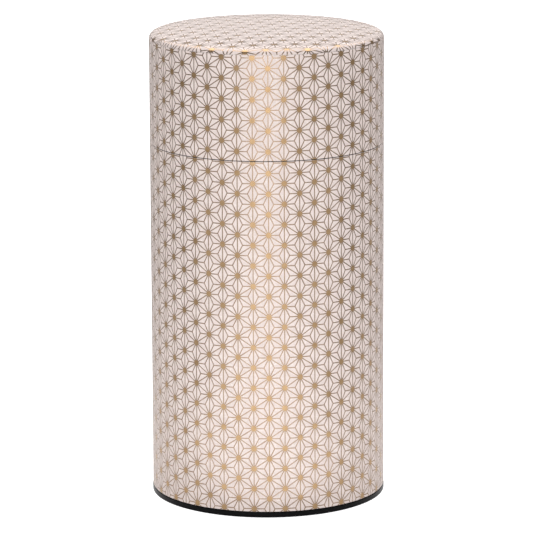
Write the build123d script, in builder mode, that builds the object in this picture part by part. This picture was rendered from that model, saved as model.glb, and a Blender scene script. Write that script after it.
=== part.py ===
"""Coffee tin: a tall tinplate canister wrapped in printed paper, with a slip-over lid and an inner lid.

Millimetres, axis on +Z, standing on z = 0. Each physical piece is its own node and its own STEP file.
The body is a shell, an inner can with its floor, a seamed base and a paper wrap. The slip-over lid is a
tube, a domed crown and two papers. The inner lid is a drawn pan with a riveted knob.
"""
from build123d import *
from math import asin, degrees, sin
import os

# ---------------------------------------------------------------- driving dimensions
PAPER_R = 40.00           # outside of the paper, on body and lid alike
TOP_Z = 161.95            # highest point of the lid
SEAM_Z = 122.80           # middle of the gap between body and lid
SEAM_GAP = 0.30
RIM_TOP_Z = 2.10          # top of the black rim, where the paper starts
RIM_R = 40.15             # the rim stands a little proud of the paper

PAPER_T = 0.18            # paper
PASTE = 0.02              # paste under the paper
TIN = 0.25                # gauge of every tinplate sheet
LID_FIT = 0.10            # radial clearance of the lid on the neck
PLUG_FIT = 0.08           # radial clearance of the inner lid in the mouth
HAIR = 0.03               # room between sheets that lie against each other

MOUTH_Z = 144.50          # rolled mouth of the inner can
HEM_DEPTH = 3.00
FLOOR_Z = 7.00            # the coffee stands on this
SIDE_LAP_W = 3.20         # lapped side seam of the inner can
PAPER_LAP_W = 5.00        # overlap of the paper's ends, at the back
PAPER_LAP_T = 0.12        # what the pressed overlap stands out

# ---------------------------------------------------------------- derived dimensions
LAYER = TIN + HAIR                     # pitch of sheets that lie against each other
TIN_R = PAPER_R - PAPER_T - PASTE      # outside of the shell and of the lid's tube
BORE_R = TIN_R - TIN                   # their inside
NECK_R = BORE_R - LID_FIT              # outside of the inner can
CAN_R = NECK_R - TIN                   # inside of the inner can
MOUTH_R = CAN_R - LAYER                # inside of its folded mouth
BODY_TOP_Z = SEAM_Z - SEAM_GAP / 2
LID_Z = SEAM_Z + SEAM_GAP / 2


def sheet(points, bend):
    """Section of a bent tinplate sheet whose middle follows the points."""
    with BuildLine() as middle:
        FilletPolyline(*points, radius=bend)
    trace(middle.line, line_width=TIN)


def ring(outer_r, inner_r):
    """Flat ring in the current sketch."""
    Circle(outer_r)
    Circle(inner_r, mode=Mode.SUBTRACT)


def back_strip(inner_r, thickness, width):
    """The stretch of a ring at the back of the tin, as wide as a lapped joint."""
    with BuildSketch(mode=Mode.PRIVATE) as strip:
        ring(inner_r + thickness, inner_r)
        with Locations((0, inner_r)):
            Rectangle(width, inner_r, mode=Mode.INTERSECT)
    add(strip.sketch_local)


# ---------------------------------------------------------------- double seam at the foot
def seam_layer(count):
    """Middle radius of a layer of the seam, counted inwards from the seaming wall."""
    return RIM_R - TIN / 2 - count * LAYER


SEAMING_WALL, BODY_HOOK, COVER_HOOK, BODY_WALL, CHUCK_WALL = (seam_layer(k) for k in range(5))
TURN_Z = 0.74             # the shell turns back up here
NECKING_Z = 3.40          # the shell narrows below this
NECKING_H = 0.90
PANEL_Z = 3.10            # base panel
BEAD_IN_R = 25.20         # pressed ring of the panel
BEAD_OUT_R = 33.80
BEAD_SLOPE = 1.00         # its sloped flanks are this wide
BEAD_H = 0.60
SHELL_BEND = 0.24
PAN_BEND = 0.25

with BuildPart() as outer_shell:
    with BuildSketch(Plane.XZ):
        sheet([(TIN_R - TIN / 2, BODY_TOP_Z), (TIN_R - TIN / 2, NECKING_Z),
               (BODY_WALL, NECKING_Z - NECKING_H), (BODY_WALL, TURN_Z), (BODY_HOOK, TURN_Z),
               (BODY_HOOK, RIM_TOP_Z - LAYER - TIN / 2)], SHELL_BEND)
    revolve(axis=Axis.Z)

with BuildPart() as base_pan:
    with BuildSketch(Plane.XZ):
        sheet([(0, PANEL_Z), (BEAD_IN_R, PANEL_Z), (BEAD_IN_R + BEAD_SLOPE, PANEL_Z + BEAD_H),
               (BEAD_OUT_R - BEAD_SLOPE, PANEL_Z + BEAD_H), (BEAD_OUT_R, PANEL_Z), (CHUCK_WALL, PANEL_Z),
               (CHUCK_WALL, TIN / 2), (SEAMING_WALL, TIN / 2), (SEAMING_WALL, RIM_TOP_Z - TIN / 2),
               (COVER_HOOK, RIM_TOP_Z - TIN / 2), (COVER_HOOK, TURN_Z + LAYER)], PAN_BEND)
    revolve(axis=Axis.Z)

with BuildPart() as base_sealant:
    with BuildSketch(Plane.XY.offset(LAYER)):
        ring(BODY_HOOK, BODY_WALL)
    extrude(amount=TURN_Z - TIN / 2 - LAYER - HAIR)

# ---------------------------------------------------------------- inner can with its neck and floor
HEM_BEND = 0.135          # the hem is folded flat
STRIP_TOP_Z = MOUTH_Z - HEM_DEPTH - 1.0 + HAIR      # the lapped seam ends under the hem
FLOOR_SKIRT_Z = NECKING_Z + 0.20                    # lower edge of the floor's skirt
FLOOR_BEND = 0.60

with BuildPart() as inner_can:
    with BuildSketch(Plane.XZ):
        sheet([(NECK_R - TIN / 2, NECKING_Z + HAIR), (NECK_R - TIN / 2, MOUTH_Z - TIN / 2),
               (MOUTH_R + TIN / 2, MOUTH_Z - TIN / 2), (MOUTH_R + TIN / 2, MOUTH_Z - HEM_DEPTH)], HEM_BEND)
    revolve(axis=Axis.Z)
    with BuildSketch(Plane.XY.offset(FLOOR_Z + HAIR)):
        back_strip(CAN_R - TIN + HAIR, TIN, SIDE_LAP_W)
    extrude(amount=STRIP_TOP_Z - FLOOR_Z - HAIR)

with BuildPart() as inner_can_floor:
    with BuildSketch(Plane.XZ):
        sheet([(0, FLOOR_Z - TIN / 2), (CAN_R - HAIR - TIN / 2, FLOOR_Z - TIN / 2),
               (CAN_R - HAIR - TIN / 2, FLOOR_SKIRT_Z)], FLOOR_BEND)
    revolve(axis=Axis.Z)

# ---------------------------------------------------------------- body paper
with BuildPart() as body_paper:
    with BuildSketch(Plane.XY.offset(RIM_TOP_Z + HAIR)):
        ring(PAPER_R, PAPER_R - PAPER_T)
        back_strip(PAPER_R - PAPER_T, PAPER_T + PAPER_LAP_T, PAPER_LAP_W)
    extrude(amount=BODY_TOP_Z - RIM_TOP_Z - HAIR)

# ---------------------------------------------------------------- slip-over lid
DOME_FLAT_R = 12.0                     # the crown is level out to here
DOME_BEND_R = 31.0                     # and droops faster beyond this
DOME_BEND_DROP = 0.80
DOME_EDGE_R = 38.25                    # the rounded shoulder starts here
DOME_EDGE_DROP = 1.75
PAPER_EDGE_Z = 158.60                  # cut edge of the top paper on the shoulder
TUBE_TOP_Z = 157.40                    # the crown stands on the lid's tube here
SKIRT_Z = 152.50                       # lower edge of the crown's skirt, inside the tube
JOGGLE_TOP_Z = TUBE_TOP_Z + 0.60       # the skirt steps inwards between these two
JOGGLE_LOW_Z = TUBE_TOP_Z + 0.10
JOGGLE_BEND = 0.20
PAPER_STEP = 0.10                      # the side paper ends this far under the top paper
TRIM = 2.00                            # more than the shoulder reaches below that cut edge


def crown_layer(depth, gauge, rim):
    """Section of a domed layer under the lid's outer face; rim carries it on below the shoulder."""
    with BuildLine(mode=Mode.PRIVATE) as face:
        level = Line((0, TOP_Z), (DOME_FLAT_R, TOP_Z))
        dome = TangentArc(level @ 1, (DOME_BEND_R, TOP_Z - DOME_BEND_DROP), tangent=level % 1)
        droop = TangentArc(dome @ 1, (DOME_EDGE_R, TOP_Z - DOME_EDGE_DROP), tangent=dome % 1)
        slope = asin(-(droop % 1).Y)
        shoulder_r = (PAPER_R - DOME_EDGE_R) / (1 - sin(slope))
        JernArc(droop @ 1, droop % 1, shoulder_r, degrees(slope) - 90)
    middle = face.wire().offset_2d(depth + gauge / 2, side=Side.RIGHT, closed=False)
    with BuildLine() as line:
        add(middle)
        if rim:
            FilletPolyline(middle @ 1, *rim, radius=JOGGLE_BEND)
    trace(line.line, line_width=gauge)


with BuildPart() as lid_band:
    with BuildSketch(Plane.XY.offset(LID_Z)):
        ring(TIN_R, BORE_R)
    extrude(amount=TUBE_TOP_Z - LID_Z)

with BuildPart() as lid_crown:
    with BuildSketch(Plane.XZ):
        crown_layer(PAPER_T + PASTE, TIN, [
            (TIN_R - TIN / 2, JOGGLE_TOP_Z), (BORE_R - HAIR - TIN / 2, JOGGLE_LOW_Z),
            (BORE_R - HAIR - TIN / 2, SKIRT_Z)])
    revolve(axis=Axis.Z)

with BuildPart() as lid_side_paper:
    with BuildSketch(Plane.XY.offset(LID_Z)):
        ring(PAPER_R, PAPER_R - PAPER_T)
        back_strip(PAPER_R - PAPER_T, PAPER_T + PAPER_LAP_T, PAPER_LAP_W)
    extrude(amount=PAPER_EDGE_Z - PAPER_STEP - LID_Z)

with BuildPart() as lid_top_paper:
    with BuildSketch(Plane.XZ):
        crown_layer(0, PAPER_T, [])
        with Locations((PAPER_R, PAPER_EDGE_Z)):
            Rectangle(TRIM, TRIM, align=(Align.CENTER, Align.MAX), mode=Mode.SUBTRACT)
    revolve(axis=Axis.Z)

# ---------------------------------------------------------------- inner lid
PLUG_R = MOUTH_R - PLUG_FIT            # outside of the plug
FLANGE_R = NECK_R - TIN                # flange that lies on the mouth
FLANGE_Z = MOUTH_Z + HAIR + TIN / 2
PAN_Z = MOUTH_Z - 8.50                 # floor of the pan
BOSS_R = 12.0                          # raised boss that carries the knob
BOSS_H = 1.00
BOSS_Z = PAN_Z + BOSS_H
LID_BEND = 0.40
RIVET_R = 1.55
HOLE_R = RIVET_R + 0.05

with BuildPart() as inner_lid_pan:
    with BuildSketch(Plane.XZ):
        sheet([(FLANGE_R, FLANGE_Z), (PLUG_R - TIN / 2, FLANGE_Z), (PLUG_R - TIN / 2, PAN_Z),
               (BOSS_R, PAN_Z), (BOSS_R - BOSS_H, BOSS_Z), (HOLE_R, BOSS_Z)], LID_BEND)
    revolve(axis=Axis.Z)

# hollow drawn knob, open at its foot only for the rivet
KNOB_R = 8.50
KNOB_FACE_R = 6.00                     # its level top face
KNOB_NECK_R = 4.50
KNOB_FOOT_Z = BOSS_Z + LAYER
KNOB_TOP_Z = BOSS_Z + 11.50
KNOB_BRIM_Z = KNOB_TOP_Z - 1.80        # widest from here
KNOB_UNDER_Z = KNOB_TOP_Z - 3.60       # down to here
KNOB_NECK_Z = KNOB_TOP_Z - 6.40        # the neck starts here
KNOB_BEND = 0.60

with BuildPart() as inner_lid_knob:
    with BuildSketch(Plane.XZ):
        sheet([(0, KNOB_TOP_Z), (KNOB_FACE_R, KNOB_TOP_Z), (KNOB_R, KNOB_BRIM_Z), (KNOB_R, KNOB_UNDER_Z),
               (KNOB_NECK_R, KNOB_NECK_Z), (KNOB_NECK_R, KNOB_FOOT_Z), (HOLE_R, KNOB_FOOT_Z)], KNOB_BEND)
    revolve(axis=Axis.Z)

WASHER_R = 4.20
WASHER_T = 0.50
WASHER_BEVEL = 0.10
HEAD_R = 2.90
HEAD_H = 0.80
HEAD_ROUND = 0.60

with BuildPart() as knob_washer:
    with BuildSketch(Plane.XY.offset(BOSS_Z - TIN / 2 - HAIR - WASHER_T)):
        ring(WASHER_R, HOLE_R)
    extrude(amount=WASHER_T)
    chamfer(knob_washer.edges().filter_by(GeomType.CIRCLE).sort_by(Edge.radius)[-2:], WASHER_BEVEL)

RIVET_LOW_Z = BOSS_Z - TIN / 2 - 2 * HAIR - WASHER_T
RIVET_HIGH_Z = KNOB_FOOT_Z + TIN / 2 + HAIR

with BuildPart() as knob_rivet:
    with BuildSketch(Plane.XY.offset(RIVET_LOW_Z - HEAD_H)):
        Circle(HEAD_R)
    extrude(amount=HEAD_H)
    with BuildSketch(Plane.XY.offset(RIVET_LOW_Z)):
        Circle(RIVET_R)
    extrude(amount=RIVET_HIGH_Z - RIVET_LOW_Z)
    with BuildSketch(Plane.XY.offset(RIVET_HIGH_Z)):
        Circle(HEAD_R)
    extrude(amount=HEAD_H)
    ends = knob_rivet.faces().sort_by(Axis.Z)
    fillet(ends[0].edges() + ends[-1].edges(), radius=HEAD_ROUND)

# ---------------------------------------------------------------- one STEP file for each piece
pieces = {
    "outer_shell": outer_shell, "inner_can": inner_can, "inner_can_floor": inner_can_floor,
    "base_pan": base_pan, "base_sealant": base_sealant, "body_paper": body_paper,
    "lid_band": lid_band, "lid_crown": lid_crown, "lid_side_paper": lid_side_paper,
    "lid_top_paper": lid_top_paper, "inner_lid_pan": inner_lid_pan, "inner_lid_knob": inner_lid_knob,
    "knob_washer": knob_washer, "knob_rivet": knob_rivet,
}
os.makedirs("parts", exist_ok=True)
for name, piece in pieces.items():
    piece.part.label = name
    export_step(piece.part, f"parts/{name}.step")
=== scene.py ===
"""Looks for the coffee tin: printed paper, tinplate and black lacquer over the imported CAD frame.

The gold hemp-leaf print is real geometry: a thin layer of ink that lies on the paper of body and lid.
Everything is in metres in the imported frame: the tin stands on z = 0 and faces -Y.
"""
from math import atan2, ceil, cos, exp, floor, hypot, pi, sin

import bmesh
import bpy
from mathutils import Matrix, Vector


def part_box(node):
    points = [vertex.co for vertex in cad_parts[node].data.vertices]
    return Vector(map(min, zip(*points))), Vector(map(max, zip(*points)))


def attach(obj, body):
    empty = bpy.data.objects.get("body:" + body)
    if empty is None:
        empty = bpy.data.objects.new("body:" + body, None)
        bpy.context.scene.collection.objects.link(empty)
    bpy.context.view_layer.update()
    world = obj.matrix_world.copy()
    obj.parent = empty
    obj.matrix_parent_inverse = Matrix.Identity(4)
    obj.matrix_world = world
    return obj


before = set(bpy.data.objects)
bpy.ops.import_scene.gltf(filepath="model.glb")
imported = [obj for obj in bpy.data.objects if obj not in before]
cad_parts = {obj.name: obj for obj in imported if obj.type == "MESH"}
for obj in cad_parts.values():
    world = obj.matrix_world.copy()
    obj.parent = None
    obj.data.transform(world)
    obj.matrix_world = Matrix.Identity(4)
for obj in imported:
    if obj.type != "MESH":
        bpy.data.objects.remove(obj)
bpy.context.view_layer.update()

# ---------------------------------------------------------------- sizes, worked out from the frame
MM = 0.001
R = -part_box("body_paper")[0][0]               # outside radius of the paper
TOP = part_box("lid_top_paper")[1][2]           # highest point of the lid
PAPER_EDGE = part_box("lid_top_paper")[0][2]    # cut edge of the top paper, on the shoulder
BODY_LOW, BODY_TOP = (corner[2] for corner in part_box("body_paper"))
LID_LOW, LID_TOP = (corner[2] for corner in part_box("lid_side_paper"))
INK = 0.02 * MM                               # height of the ink over the paper
LAP_W = 5.0 * MM                              # overlap of the paper's ends, at the back
LAP_T = 0.12 * MM
DOME_RADII = (0.30 * R, 0.775 * R, 0.95625 * R)         # the crown is level, bends, then meets its shoulder
DOME_DROPS = (0.80 * MM, 1.75 * MM)           # how far it has sunk at the last two

# the print: columns of stars, every second one half a pitch higher
PITCH = 0.17525 * R                           # between stars in a column
COLUMN = 0.13173 * R                          # between columns
HEART = 0.90 * MM                             # radius of the solid heart of a star
LINE = 0.17 * MM                              # half width of a line
ROOT = 0.20 * MM                              # half width of a line where it leaves the heart
FLARE = 0.6 * MM                              # how far that widening reaches
BODY_STAR = (0.0111 * R, -0.0090 * R)         # one star of each sheet
LID_STAR = (0.0096 * R, -0.0018 * R)
TOP_STAR = (0.1464 * R, -0.0130 * R)
TOP_TURN = 0.1168                             # radians that the top paper's print is turned by
EDGE_SIDES = 120                              # straight cuts that make the round edge of its ink
SHOULDER_CUTS = 4                             # cuts of each of its edges that bends over the shoulder
WELD = 0.002 * MM                             # corners of the print closer than this are one

# ---------------------------------------------------------------- reliefs and colours
FIBRE_W = 0.05                                # half width of a paper fibre, in mm
FIBRE_H = 0.015 * MM                          # heights of fine relief
TOOTH_H = 0.008 * MM
PLEATS = 26                                   # creases per radian round the shoulder
PLEAT_H = 0.06 * MM
FLAKE_H = 0.004 * MM
ROLLED_H = 0.0015 * MM
RINGS_H = 0.003 * MM
PEEL_H = 0.004 * MM
SEALANT_H = 0.01 * MM
PAPER_LIGHT = (0.87, 0.755, 0.715)
PAPER_SHADE = (0.81, 0.695, 0.655)
PAPER_FIBRE = (0.98, 0.89, 0.85)
HEART_LIGHT = (0.525, 0.355, 0.20)
HEART_DARK = (0.43, 0.283, 0.155)
LINE_LIGHT = (0.43, 0.31, 0.22)
LINE_DARK = (0.35, 0.245, 0.17)
TIN_TINT = (0.72, 0.715, 0.70)
RIVET_TINT = (0.62, 0.62, 0.62)
# painted shade: the colour of the seam's gap between lid and body, standing in for its shadow
SEAM_PAINTED_SHADE = (0.02, 0.017, 0.015)
LACQUER = (0.0015, 0.0015, 0.002)
LACQUER_RUBBED = (0.10, 0.10, 0.105)
SEALANT_DARK = (0.10, 0.12, 0.10)
SEALANT_LIGHT = (0.17, 0.19, 0.16)

# ---------------------------------------------------------------- studio
WORLD_SEEN = 1.05                             # the world as the camera sees it
WORLD_TINT = (1.0, 0.98, 1.0)
WORLD_STRENGTH = 0.325                        # and as it lights the tin
FLOOR_SIZE = 60 * R
FLOOR_SEEN = 0.95                             # the floor's glow as the camera sees it
FLOOR_NEAR = 0.32                             # and what it adds to the light beside the tin
FLOOR_REACH = 0.30                            # where that has faded out
FLOOR_PAINTED_LIT = (0.61, 0.61, 0.61)              # painted pool of light: the floor's colour inside the first of these distances
FLOOR_PAINTED_DIM = (0.47, 0.47, 0.47)               # and its painted dimmer colour outside the second
FLOOR_DIMS = (0.20, 0.45)
KEY_POWER = 6.9                               # watts of each soft box
LOW_POWER = 2.4
TOP_POWER = 33.0
BACK_POWER = 1.0
APRON_POWER = 1.15
RUNNER_POWER = 0.22
CAMERA_LENS = 267.7                           # mm, on a sensor 36 mm wide
CAMERA_DISTANCE = 33.33                       # this, the height and the side are in radii of the tin
CAMERA_HEIGHT = 9.294
CAMERA_PITCH = 0.2166                         # radians, downwards
CAMERA_ROLL = -0.0044
CAMERA_SIDE = -0.0080                         # less than 0 is left of the axis

# ---------------------------------------------------------------- the print as flat polygons
def half_width(distance):
    """A line's half width at a distance from the star's centre: it flares into the heart."""
    return LINE + (ROOT - LINE) * exp(-(distance - HEART) / FLARE)


def across(along):
    return Vector((-along.y, along.x))


def by_angle(vectors):
    return sorted(vectors, key=lambda v: atan2(v.y, v.x))


def stroke(ray, stations, width_at, last_corners=None):
    """Quads of a line that leaves the star along ray, between stations given as distances."""
    along = ray.normalized()
    rows = [(along * s - across(along) * width_at(s), along * s + across(along) * width_at(s))
            for s in stations]
    if last_corners:
        rows[-1] = last_corners
    return [(a, c, d, b) for (a, b), (c, d) in zip(rows, rows[1:])]


def meeting_corners(spokes):
    """The spokes of a meeting point in order of angle, and the corners where their edges cross."""
    spokes = by_angle(s.normalized() for s in spokes)
    corners = []
    for one, two in zip(spokes, spokes[1:] + spokes[:1]):
        corners.append((one + two) * (LINE / abs(one.cross(two))))
    return spokes, corners


def star_polygons():
    """The ink that one star adds to the lattice, about its centre.

    It is the star's solid heart, its lines to three of its six neighbours, its spokes to the six points
    where three lines meet, and two of those meeting points.
    """
    neighbours = [Vector(v) for v in ((0, PITCH), (COLUMN, PITCH / 2), (COLUMN, -PITCH / 2))]
    meetings = [Vector(v) for v in ((2 * COLUMN / 3, 0), (COLUMN / 3, PITCH / 2), (-COLUMN / 3, PITCH / 2))]
    neighbours += [-v for v in neighbours]
    meetings += [-v for v in meetings]
    heart = []
    for ray in by_angle(neighbours + meetings):
        along = ray.normalized()
        heart += [along * HEART - across(along) * ROOT, along * HEART + across(along) * ROOT]
    polygons = [heart]
    for ray in neighbours[:3]:
        length = ray.length
        stations = [HEART, HEART * 1.8, length * 0.37, length * 0.63, length - HEART * 1.8, length - HEART]
        polygons += stroke(ray, stations, lambda s: half_width(min(s, length - s)))
    for count, ray in enumerate(meetings):
        nearest = sorted(neighbours, key=lambda v: (ray - v).length)[:2]
        spokes, corners = meeting_corners([-ray] + [v - ray for v in nearest])
        mine = min(range(3), key=lambda k: (spokes[k] + ray.normalized()).length)
        stations = [HEART, HEART * 1.7, (HEART + ray.length) / 2, ray.length]
        polygons += stroke(ray, stations, half_width, (ray + corners[mine], ray + corners[mine - 1]))
        if count < 2:
            polygons.append([ray + c for c in corners])
    return polygons


def lattice(lower, upper, first_star):
    """Flat mesh of all stars whose ink can reach the stretch of paper between two corners."""
    star = star_polygons()
    mesh = bmesh.new()
    first = floor((lower[0] - first_star[0]) / COLUMN) - 1
    last = ceil((upper[0] - first_star[0]) / COLUMN) + 1
    for column in range(first, last + 1):
        rise = first_star[1] + (column % 2) * PITCH / 2
        for row in range(floor((lower[1] - rise) / PITCH) - 1, ceil((upper[1] - rise) / PITCH) + 2):
            x, y = first_star[0] + column * COLUMN, rise + row * PITCH
            for count, polygon in enumerate(star):
                face = mesh.faces.new([mesh.verts.new((x + c.x, y + c.y, 0)) for c in polygon])
                face.material_index = min(count, 1)
    bmesh.ops.remove_doubles(mesh, verts=mesh.verts, dist=WELD)
    return mesh


# ---------------------------------------------------------------- flat print to shaped ink
def cut(mesh, point, outwards):
    """Cuts the flat mesh along a line and drops what lies outwards of it."""
    parts = list(mesh.verts) + list(mesh.edges) + list(mesh.faces)
    bmesh.ops.bisect_plane(mesh, geom=parts, plane_co=(point[0], point[1], 0), dist=1e-8,
                           plane_no=(outwards[0], outwards[1], 0), clear_outer=True)


def ink_object(name, meshes, materials, body):
    """One smooth ink layer out of its shaped stretches, riding on a body."""
    data = bpy.data.meshes.new(name)
    whole = bmesh.new()
    for mesh in meshes:
        mesh.to_mesh(data)
        whole.from_mesh(data)
        mesh.free()
    whole.to_mesh(data)
    whole.free()
    for material in materials:
        data.materials.append(material)
    data.polygons.foreach_set("use_smooth", [True] * len(data.polygons))
    obj = bpy.data.objects.new(name, data)
    bpy.context.collection.objects.link(obj)
    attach(obj, body)
    return obj


def wrapped_print(name, low_z, high_z, first_star, materials, body):
    """The print of a sheet wrapped round the tin; its last stretch lies on the overlap at the back."""
    half = pi * R
    stretches = ((LAP_W / 2 - half, half - LAP_W / 2, R + INK),
                 (half - LAP_W / 2, half + LAP_W / 2, R + LAP_T + INK))
    meshes = []
    for start, stop, radius in stretches:
        mesh = lattice((start, low_z), (stop, high_z), first_star)
        cut(mesh, (start, 0), (-1, 0))
        cut(mesh, (stop, 0), (1, 0))
        cut(mesh, (0, low_z), (0, -1))
        cut(mesh, (0, high_z), (0, 1))
        for v in mesh.verts:
            angle = v.co.x / R
            v.co = (radius * sin(angle), -radius * cos(angle), v.co.y)
        meshes.append(mesh)
    return ink_object(name, meshes, materials, body)


def dome_point(travel):
    """Radius and height on the lid's face at a distance from its middle, measured along the paper."""
    flat, bend_r, edge_r = DOME_RADII
    bend_drop, edge_drop = DOME_DROPS
    if travel < flat:
        return travel, TOP
    first_r = ((bend_r - flat) ** 2 + bend_drop ** 2) / (2 * bend_drop)
    first_turn = 2 * atan2(bend_drop, bend_r - flat)
    first_travel = first_r * first_turn
    if travel < flat + first_travel:
        turn = (travel - flat) / first_r
        return flat + first_r * sin(turn), TOP - first_r * (1 - cos(turn))
    chord = hypot(edge_r - bend_r, edge_drop - bend_drop)
    half_turn = atan2(edge_drop - bend_drop, edge_r - bend_r) - first_turn
    second_r = chord / (2 * sin(half_turn))
    second_travel = second_r * 2 * half_turn
    rest = travel - flat - first_travel
    if rest < second_travel:
        turn = rest / second_r
        middle = first_turn + turn / 2
        step = 2 * second_r * sin(turn / 2)
        return bend_r + step * cos(middle), TOP - bend_drop - step * sin(middle)
    slope = first_turn + 2 * half_turn
    shoulder_r = (R - edge_r) / (1 - sin(slope))
    turn = slope + (rest - second_travel) / shoulder_r
    centre_r = edge_r - shoulder_r * sin(slope)
    centre_z = TOP - edge_drop - shoulder_r * cos(slope)
    return centre_r + shoulder_r * sin(turn), centre_z + shoulder_r * cos(turn)


def paper_travel():
    """How far the top paper reaches from its middle: down to its cut edge on the shoulder."""
    travel = DOME_RADII[2]
    while dome_point(travel)[1] > PAPER_EDGE:
        travel += 0.01 * MM
    return travel


def crown_print(name, materials, body):
    """The print of the lid's round top paper, carried over the dome and the shoulder."""
    reach = paper_travel()
    turn = Matrix.Rotation(TOP_TURN, 2)
    wide = 1.2 * reach                         # room to shift and turn the print
    mesh = lattice((-wide, -wide), (wide, wide), (0, 0))
    middle = Vector(TOP_STAR)
    for v in mesh.verts:
        flat = turn @ Vector((v.co.y, v.co.x)) + middle
        v.co = (flat.x, flat.y, 0)
    for side in range(EDGE_SIDES):
        angle = 2 * pi * side / EDGE_SIDES
        out = Vector((cos(angle), sin(angle)))
        cut(mesh, out * reach, out)
    bent_from = DOME_RADII[2] - PITCH / 4
    hearts = [f for f in mesh.faces if len(f.verts) > 4 and max(v.co.length for v in f.verts) > bent_from]
    bmesh.ops.poke(mesh, faces=hearts)
    bent = [e for e in mesh.edges if max(v.co.length for v in e.verts) > bent_from]
    bmesh.ops.subdivide_edges(mesh, edges=bent, cuts=SHOULDER_CUTS, use_grid_fill=True)
    for v in mesh.verts:
        travel = hypot(v.co.x, v.co.y)
        radius, height = dome_point(travel)
        out = Vector((v.co.x, v.co.y)) / travel
        v.co = (out.x * (radius + INK * radius / R), out.y * (radius + INK * radius / R), height + INK)
    for face in mesh.faces:
        if face.normal.z < 0:
            face.normal_flip()
    return ink_object(name, [mesh], materials, body)


# ---------------------------------------------------------------- materials
def new_material(name):
    """A material with its Principled shader: returns the material, its nodes, links and shader."""
    material = bpy.data.materials.new(name)
    material.use_nodes = True
    tree = material.node_tree
    return material, tree.nodes, tree.links, tree.nodes["Principled BSDF"]


def millimetres(nodes, links, scale=(1, 1, 1)):
    """Object coordinates counted in millimetres, stretched by scale."""
    place = nodes.new("ShaderNodeTexCoord")
    mapping = nodes.new("ShaderNodeMapping")
    mapping.inputs["Scale"].default_value = [s / MM for s in scale]
    links.new(place.outputs["Object"], mapping.inputs["Vector"])
    return mapping.outputs["Vector"]


def noise(nodes, links, vector, scale, detail, distortion=0.0):
    """Cloudy noise, 0 to 1, with scale features per unit of the vector."""
    texture = nodes.new("ShaderNodeTexNoise")
    texture.inputs["Scale"].default_value = scale
    texture.inputs["Detail"].default_value = detail
    texture.inputs["Distortion"].default_value = distortion
    links.new(vector, texture.inputs["Vector"])
    return texture.outputs["Fac"]


def ramp(nodes, links, value, stops):
    """Colour ramp between two pairs of place and colour."""
    band = nodes.new("ShaderNodeValToRGB")
    for element, (place, colour) in zip(band.color_ramp.elements, stops):
        element.position = place
        element.color = (*colour, 1)
    links.new(value, band.inputs["Fac"])
    return band.outputs["Color"]


def blend(nodes, links, share, colour, other):
    """The colour, and the other one where the share is 1."""
    mix = nodes.new("ShaderNodeMix")
    mix.data_type = "RGBA"
    factor, first, second = mix.inputs[0], mix.inputs[6], mix.inputs[7]
    second.default_value = (*other, 1)
    links.new(share, factor)
    links.new(colour, first)
    return mix.outputs[2]


def spread(nodes, links, value, low, high):
    """The value, 0 to 1, spread between low and high."""
    span = nodes.new("ShaderNodeMapRange")
    span.inputs["To Min"].default_value = low
    span.inputs["To Max"].default_value = high
    links.new(value, span.inputs["Value"])
    return span.outputs["Result"]


def bump(nodes, links, value, height, shader, below=None):
    """Bump of that height in metres; below is another bump's output to build on."""
    node = nodes.new("ShaderNodeBump")
    node.inputs["Distance"].default_value = height
    links.new(value, node.inputs["Height"])
    if below:
        links.new(below, node.inputs["Normal"])
    links.new(node.outputs["Normal"], shader.inputs["Normal"])
    return node.outputs["Normal"]


def calculate(nodes, links, operation, first, second=0.0):
    """A math node on a value and a number or a second value."""
    node = nodes.new("ShaderNodeMath")
    node.operation = operation
    links.new(first, node.inputs[0])
    if isinstance(second, (int, float)):
        node.inputs[1].default_value = second
    else:
        links.new(second, node.inputs[1])
    return node.outputs[0]


def remap(nodes, links, value, stops, results):
    """The value carried from the two stops to the two results, smoothly, and held beyond them."""
    span = nodes.new("ShaderNodeMapRange")
    span.interpolation_type = "SMOOTHSTEP"
    for socket, number in zip(("From Min", "From Max", "To Min", "To Max"), (*stops, *results)):
        span.inputs[socket].default_value = number
    links.new(value, span.inputs["Value"])
    return span.outputs["Result"]


def threads(nodes, links, place, scale, shift):
    """Long curly fibres, 1 on a fibre and 0 between: the level lines of a soft noise, broken up."""
    moved = nodes.new("ShaderNodeVectorMath")
    moved.inputs[1].default_value = (shift, 2 * shift, -shift)
    links.new(place, moved.inputs[0])
    hills = noise(nodes, links, moved.outputs[0], scale, 1, distortion=1.5)
    off = calculate(nodes, links, "ABSOLUTE", calculate(nodes, links, "SUBTRACT", hills, 0.5))
    line = remap(nodes, links, off, (0.0, FIBRE_W * scale), (1, 0))
    breaks = noise(nodes, links, moved.outputs[0], scale * 0.8, 1)
    return calculate(nodes, links, "MULTIPLY", line, remap(nodes, links, breaks, (0.46, 0.54), (0, 1)))


def pleats(nodes, links, place):
    """Small creases down the shoulder, where the top paper is drawn over it, and 0 elsewhere."""
    split = nodes.new("ShaderNodeSeparateXYZ")
    links.new(place, split.inputs[0])
    angle = calculate(nodes, links, "ARCTAN2", split.outputs["Y"], split.outputs["X"])
    folds = nodes.new("ShaderNodeTexNoise")
    folds.noise_dimensions = "1D"
    folds.inputs["Scale"].default_value = PLEATS
    links.new(angle, folds.inputs["W"])
    low, high = PAPER_EDGE / MM, (TOP - DOME_DROPS[1]) / MM
    above = remap(nodes, links, split.outputs["Z"], (low - 0.05, low), (0, 1))
    below = remap(nodes, links, split.outputs["Z"], ((low + high) / 2, high), (1, 0))
    mask = calculate(nodes, links, "MULTIPLY", above, below)
    return calculate(nodes, links, "MULTIPLY", folds.outputs["Fac"], mask)


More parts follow.
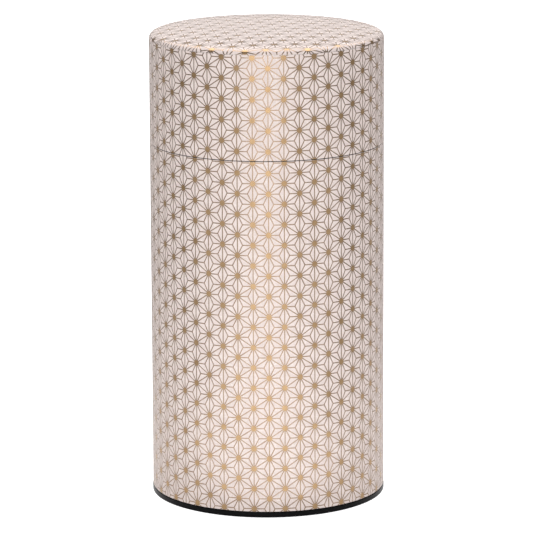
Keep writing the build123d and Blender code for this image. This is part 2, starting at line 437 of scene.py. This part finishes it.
def paper_material():
    """Off-white handmade paper: long pale fibres, a cloudy sheet, a faint tooth and a soft sheen."""
    material, nodes, links, shader = new_material("printed_paper")
    place = millimetres(nodes, links)
    clouds = noise(nodes, links, place, 0.25, 5)
    tooth = noise(nodes, links, place, 6.0, 4)
    fibres = calculate(nodes, links, "MAXIMUM", threads(nodes, links, place, 0.45, 0.0),
                       threads(nodes, links, place, 0.8, 31.0))
    base = ramp(nodes, links, clouds, ((0.35, PAPER_SHADE), (0.65, PAPER_LIGHT)))
    share = calculate(nodes, links, "MULTIPLY", fibres, 0.8)
    links.new(blend(nodes, links, share, base, PAPER_FIBRE), shader.inputs["Base Color"])
    links.new(spread(nodes, links, tooth, 0.50, 0.72), shader.inputs["Roughness"])
    shader.inputs["Specular IOR Level"].default_value = 0.25
    raised = bump(nodes, links, fibres, FIBRE_H, shader)
    creased = bump(nodes, links, pleats(nodes, links, place), PLEAT_H, shader, raised)
    bump(nodes, links, tooth, TOOTH_H, shader, creased)
    return material


def gold_material(name, dark, light):
    """Gold metallic ink: bronze flakes in a satin layer, a little uneven where it soaked in."""
    material, nodes, links, shader = new_material(name)
    place = millimetres(nodes, links)
    patches = noise(nodes, links, place, 0.35, 3)
    flakes = noise(nodes, links, place, 9.0, 2)
    links.new(ramp(nodes, links, patches, ((0.3, dark), (0.7, light))), shader.inputs["Base Color"])
    links.new(spread(nodes, links, flakes, 0.17, 0.29), shader.inputs["Roughness"])
    shader.inputs["Metallic"].default_value = 1.0
    creased = bump(nodes, links, pleats(nodes, links, place), PLEAT_H, shader)
    bump(nodes, links, flakes, FLAKE_H, shader, creased)
    return material


def tinplate_material(name, tint):
    """Bright tinplate with fine rolling lines that run round it, with painted shade: dark inside the seam,
    where the gap between lid and body lies in shadow.
    """
    material, nodes, links, shader = new_material(name)
    lines = millimetres(nodes, links, (0.35, 0.35, 14))
    soft = millimetres(nodes, links)
    grain = noise(nodes, links, lines, 1.0, 3)
    stain = noise(nodes, links, soft, 0.06, 4)
    shade = tuple(0.86 * c for c in tint)
    clean = ramp(nodes, links, stain, ((0.3, shade), (0.7, tint)))
    split = nodes.new("ShaderNodeSeparateXYZ")
    links.new(soft, split.inputs[0])
    # painted shade: a dark band round the tin between the body paper's top and the lid paper's foot,
    # standing in for the shadow in the seam's gap
    seam = nodes.new("ShaderNodeMath")
    seam.operation = "COMPARE"
    seam.inputs[1].default_value = (BODY_TOP + LID_LOW) / 2 / MM
    seam.inputs[2].default_value = (LID_LOW - BODY_TOP) / 2 / MM
    links.new(split.outputs["Z"], seam.inputs[0])
    links.new(blend(nodes, links, seam.outputs[0], clean, SEAM_PAINTED_SHADE), shader.inputs["Base Color"])
    links.new(spread(nodes, links, grain, 0.16, 0.34), shader.inputs["Roughness"])
    shader.inputs["Metallic"].default_value = 1.0
    bump(nodes, links, grain, ROLLED_H, shader)
    return material


def spun_material(name, tint):
    """Drawn tinplate with fine rings about the tin's axis, as on the pan and the knob."""
    material, nodes, links, shader = new_material(name)
    place = millimetres(nodes, links)
    flat = nodes.new("ShaderNodeVectorMath")
    flat.operation = "MULTIPLY"
    flat.inputs[1].default_value = (1, 1, 0)
    length = nodes.new("ShaderNodeVectorMath")
    length.operation = "LENGTH"
    rings = nodes.new("ShaderNodeTexNoise")
    rings.noise_dimensions = "1D"
    rings.inputs["Scale"].default_value = 3.0
    rings.inputs["Detail"].default_value = 4.0
    links.new(place, flat.inputs[0])
    links.new(flat.outputs[0], length.inputs[0])
    links.new(length.outputs["Value"], rings.inputs["W"])
    stain = noise(nodes, links, place, 0.08, 4)
    shade = tuple(0.88 * c for c in tint)
    links.new(ramp(nodes, links, stain, ((0.3, shade), (0.7, tint))), shader.inputs["Base Color"])
    links.new(spread(nodes, links, rings.outputs["Fac"], 0.14, 0.32), shader.inputs["Roughness"])
    shader.inputs["Metallic"].default_value = 1.0
    bump(nodes, links, rings.outputs["Fac"], RINGS_H, shader)
    return material


def lacquer_material():
    """Glossy black lacquer with a faint orange peel, rubbed a little where the foot stands."""
    material, nodes, links, shader = new_material("black_lacquer")
    place = millimetres(nodes, links)
    peel = noise(nodes, links, place, 0.8, 2)
    rub = noise(nodes, links, place, 0.5, 6)
    height = nodes.new("ShaderNodeSeparateXYZ")
    links.new(place, height.inputs[0])
    foot = nodes.new("ShaderNodeMapRange")
    foot.inputs["From Min"].default_value = 0.12
    foot.inputs["From Max"].default_value = 0.0
    links.new(height.outputs["Z"], foot.inputs["Value"])
    worn = calculate(nodes, links, "MULTIPLY", foot.outputs["Result"], rub)
    links.new(ramp(nodes, links, worn, ((0.35, LACQUER), (0.75, LACQUER_RUBBED))),
              shader.inputs["Base Color"])
    links.new(spread(nodes, links, rub, 0.16, 0.30), shader.inputs["Roughness"])
    shader.inputs["Specular IOR Level"].default_value = 0.12
    bump(nodes, links, peel, PEEL_H, shader)
    return material


def compound_material():
    """Dried sealing compound: dull grey-green rubber."""
    material, nodes, links, shader = new_material("sealing_compound")
    place = millimetres(nodes, links)
    grain = noise(nodes, links, place, 2.0, 4)
    links.new(ramp(nodes, links, grain, ((0.3, SEALANT_DARK), (0.7, SEALANT_LIGHT))),
              shader.inputs["Base Color"])
    links.new(spread(nodes, links, grain, 0.6, 0.8), shader.inputs["Roughness"])
    bump(nodes, links, grain, SEALANT_H, shader)
    return material


def dress(material, *nodes):
    """The material on every slot of these CAD nodes."""
    for name in nodes:
        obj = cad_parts[name]
        if not obj.material_slots:
            obj.data.materials.append(material)
        for place in obj.material_slots:
            place.material = material


# ---------------------------------------------------------------- floor, light and camera
def studio_floor():
    """A floor, clear from below, with a painted pool of light: whiter near the tin, greyer further out. It
    looks brighter than it lights the tin, so shadows stay faint.
    """
    material, nodes, links, shader = new_material("studio_floor")
    place = millimetres(nodes, links)
    away = nodes.new("ShaderNodeVectorMath")
    away.operation = "LENGTH"
    links.new(place, away.inputs[0])
    # painted pool of light: the floor's colour fades from white round the tin to grey further out
    far = remap(nodes, links, away.outputs["Value"], [reach / MM for reach in FLOOR_DIMS], (0, 0.9))
    grain = calculate(nodes, links, "MULTIPLY", noise(nodes, links, place, 0.02, 2), 0.1)
    tone = calculate(nodes, links, "ADD", far, grain)
    links.new(ramp(nodes, links, tone, ((0.0, FLOOR_PAINTED_LIT), (1.0, FLOOR_PAINTED_DIM))),
              shader.inputs["Base Color"])
    shader.inputs["Roughness"].default_value = 0.9
    shader.inputs["Emission Color"].default_value = (1, 1, 1, 1)
    path = nodes.new("ShaderNodeLightPath")
    near = remap(nodes, links, away.outputs["Value"], (R / MM, FLOOR_REACH / MM), (FLOOR_NEAR, 0))
    glow = nodes.new("ShaderNodeMix")
    links.new(path.outputs["Is Camera Ray"], glow.inputs["Factor"])
    links.new(near, glow.inputs["A"])
    glow.inputs["B"].default_value = FLOOR_SEEN
    links.new(glow.outputs["Result"], shader.inputs["Emission Strength"])
    geometry = nodes.new("ShaderNodeNewGeometry")
    below = calculate(nodes, links, "MULTIPLY", path.outputs["Is Camera Ray"],
                      geometry.outputs["Backfacing"])
    clear = nodes.new("ShaderNodeBsdfTransparent")
    mix = nodes.new("ShaderNodeMixShader")
    links.new(below, mix.inputs["Fac"])
    links.new(shader.outputs[0], mix.inputs[1])
    links.new(clear.outputs[0], mix.inputs[2])
    links.new(mix.outputs[0], nodes["Material Output"].inputs["Surface"])
    bpy.ops.mesh.primitive_plane_add(size=FLOOR_SIZE)
    plane = bpy.context.object
    plane.name = "studio_floor"
    plane.data.materials.append(material)


def studio_world():
    """White behind the tin, and a softer, dimmer white for what lights it."""
    world = bpy.data.worlds.new("studio")
    bpy.context.scene.world = world
    world.use_nodes = True
    nodes, links = world.node_tree.nodes, world.node_tree.links
    seen = nodes["Background"]
    seen.inputs["Color"].default_value = (1, 1, 1, 1)
    seen.inputs["Strength"].default_value = WORLD_SEEN
    around = nodes.new("ShaderNodeBackground")
    around.inputs["Color"].default_value = (*WORLD_TINT, 1)
    around.inputs["Strength"].default_value = WORLD_STRENGTH
    path = nodes.new("ShaderNodeLightPath")
    mix = nodes.new("ShaderNodeMixShader")
    links.new(path.outputs["Is Camera Ray"], mix.inputs["Fac"])
    links.new(around.outputs[0], mix.inputs[1])
    links.new(seen.outputs[0], mix.inputs[2])
    links.new(mix.outputs[0], nodes["World Output"].inputs["Surface"])


def soft_box(name, place, aim, size, power):
    """A large area light at place that points at aim, hidden from the camera."""
    lamp = bpy.data.lights.new(name, "AREA")
    lamp.shape = "RECTANGLE"
    lamp.size, lamp.size_y = size
    lamp.energy = power
    obj = bpy.data.objects.new(name, lamp)
    bpy.context.collection.objects.link(obj)
    obj.location = place
    obj.rotation_euler = (Vector(aim) - Vector(place)).to_track_quat("-Z", "Y").to_euler()
    obj.visible_camera = False


def studio_camera():
    """A long lens a little above the lid, looking down at the front of the tin."""
    data = bpy.data.cameras.new("camera")
    data.lens = CAMERA_LENS
    data.sensor_width = 36.0
    camera = bpy.data.objects.new("camera", data)
    bpy.context.collection.objects.link(camera)
    camera.location = (CAMERA_SIDE * R, -CAMERA_DISTANCE * R, CAMERA_HEIGHT * R)
    tilt = Matrix.Rotation(pi / 2 - CAMERA_PITCH, 4, "X")
    roll = Matrix.Rotation(CAMERA_ROLL, 4, "Z")
    camera.rotation_euler = (tilt @ roll).to_euler()
    data.clip_start, data.clip_end = R, 200 * R
    bpy.context.scene.camera = camera


# ---------------------------------------------------------------- the tin
paper = paper_material()
gold = [gold_material("gold_hearts", HEART_DARK, HEART_LIGHT),
        gold_material("gold_lines", LINE_DARK, LINE_LIGHT)]
tin_round = tinplate_material("tinplate_rolled", TIN_TINT)
tin_spun = spun_material("tinplate_drawn", TIN_TINT)
rivet_steel = spun_material("rivet_steel", RIVET_TINT)
dress(paper, "body_paper", "lid_side_paper", "lid_top_paper")
dress(tin_round, "outer_shell", "inner_can", "lid_band")
dress(tin_spun, "inner_can_floor", "lid_crown", "inner_lid_pan", "inner_lid_knob")
dress(rivet_steel, "knob_washer", "knob_rivet")
dress(lacquer_material(), "base_pan")
dress(compound_material(), "base_sealant")

wrapped_print("body_print", BODY_LOW, BODY_TOP, BODY_STAR, gold, "body")
wrapped_print("lid_side_print", LID_LOW, LID_TOP, LID_STAR, gold, "lid")
crown_print("lid_top_print", gold, "lid")

studio_floor()
studio_world()
soft_box("key", (0, -1.6, 0.62), (0, 0, 0.1), (2.0, 1.2), KEY_POWER)
soft_box("low", (-0.05, -1.3, 0.13), (0, 0, 0.1), (0.9, 0.26), LOW_POWER)
soft_box("top", (0, 0.6, 1.5), (0, 0, 0.16), (2.3, 2.1), TOP_POWER)
soft_box("back", (0, 1.5, 0.42), (0, 0, 0.16), (1.2, 0.5), BACK_POWER)
soft_box("apron", (0, -0.54, 0.002), (0, -0.54, 1), (1.4, 0.8), APRON_POWER)
soft_box("runner", (-0.02, -0.35, 0.003), (-0.02, -0.35, 1), (0.25, 0.6), RUNNER_POWER)
studio_camera()
bpy.context.scene.view_settings.view_transform = "Standard"
bpy.context.scene.view_settings.look = "None"
